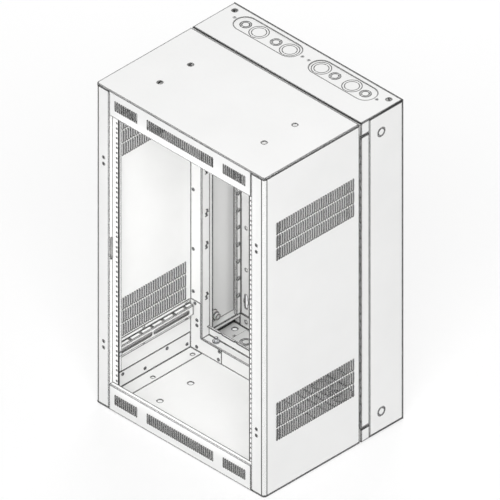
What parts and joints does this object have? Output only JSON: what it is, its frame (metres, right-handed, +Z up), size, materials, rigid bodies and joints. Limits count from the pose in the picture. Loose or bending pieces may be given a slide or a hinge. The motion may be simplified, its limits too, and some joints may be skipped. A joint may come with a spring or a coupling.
{
  "type": "wall mount rack",
  "caption": "Swing-out wall mount equipment rack with a hinged centre section, depth-adjustable rails, vented sides and a shallow backbox with cable knockouts.",
  "frame": {"origin": "centre of the wall bolt pattern, on the wall plane", "axes": "+X to the right seen from the front, +Y back into the wall, +Z up"},
  "size_m": [0.5886, 0.481, 0.9556],
  "materials": {
    "powder_coat": "fine-texture white powder coat on steel sheet",
    "inner_coat": "smooth light grey-white powder coat on steel brackets",
    "rail_coat": "white powder coat on thick rail steel",
    "zinc_steel": "zinc plated",
    "bushing_plastic": "matt light grey nylon"
  },
  "bodies": {
    "backbox": {"back_panel": "powder_coat", "backbox_side_left": "powder_coat", "backbox_side_right": "powder_coat", "backbox_tray_top": "powder_coat", "backbox_tray_bottom": "powder_coat", "lacing_strip_left": "inner_coat", "lacing_strip_right": "inner_coat", "hinge_leaf_backbox": "powder_coat", "hinge_pin": "zinc_steel", "cable_bushing": "bushing_plastic", "knockout_plate_bottom_left": "inner_coat", "knockout_plate_bottom_right": "inner_coat", "knockout_plate_top_left": "inner_coat", "knockout_plate_top_right": "inner_coat"},
    "centre_section": {"side_panel_left": "powder_coat", "side_panel_right": "powder_coat", "top_panel": "powder_coat", "bottom_panel": "powder_coat", "rear_frame_left": "inner_coat", "rear_frame_right": "inner_coat", "rear_rail_top": "inner_coat", "rear_rail_bottom": "inner_coat", "hinge_leaf_section": "powder_coat", "lock_collar_top": "zinc_steel", "lock_collar_bottom": "zinc_steel", "rail_support_lower_left": "inner_coat", "panel_angle_lower_left": "inner_coat", "corner_gusset_lower_left": "inner_coat", "rail_support_lower_right": "inner_coat", "panel_angle_lower_right": "inner_coat", "corner_gusset_lower_right": "inner_coat", "rail_support_upper_left": "inner_coat", "panel_angle_upper_left": "inner_coat", "corner_gusset_upper_left": "inner_coat", "rail_support_upper_right": "inner_coat", "panel_angle_upper_right": "inner_coat", "corner_gusset_upper_right": "inner_coat"},
    "rail_left": {"rack_rail_left": "rail_coat", "rail_bolts_left": "zinc_steel"},
    "rail_right": {"rack_rail_right": "rail_coat", "rail_bolts_right": "zinc_steel"},
    "lock_top": {"lock_bolt_top": "zinc_steel"},
    "lock_bottom": {"lock_bolt_bottom": "zinc_steel"}
  },
  "joints": [
    {"name": "section_swing", "type": "hinge", "parent": "backbox", "child": "centre_section", "pos_m": [0.2927, -0.1486, 0], "axis": [0, 0, 1], "range_deg": [0, 110]},
    {"name": "rail_left_slide", "type": "slide", "parent": "centre_section", "child": "rail_left", "axis": [0, 1, 0], "range_m": [0, 0.11]},
    {"name": "rail_right_slide", "type": "slide", "parent": "centre_section", "child": "rail_right", "axis": [0, 1, 0], "range_m": [0, 0.11]},
    {"name": "lock_top_slide", "type": "slide", "parent": "centre_section", "child": "lock_top", "axis": [0, 0, 1], "range_m": [0, 0.006]},
    {"name": "lock_bottom_slide", "type": "slide", "parent": "centre_section", "child": "lock_bottom", "axis": [0, 0, -1], "range_m": [0, 0.006]}
  ]
}
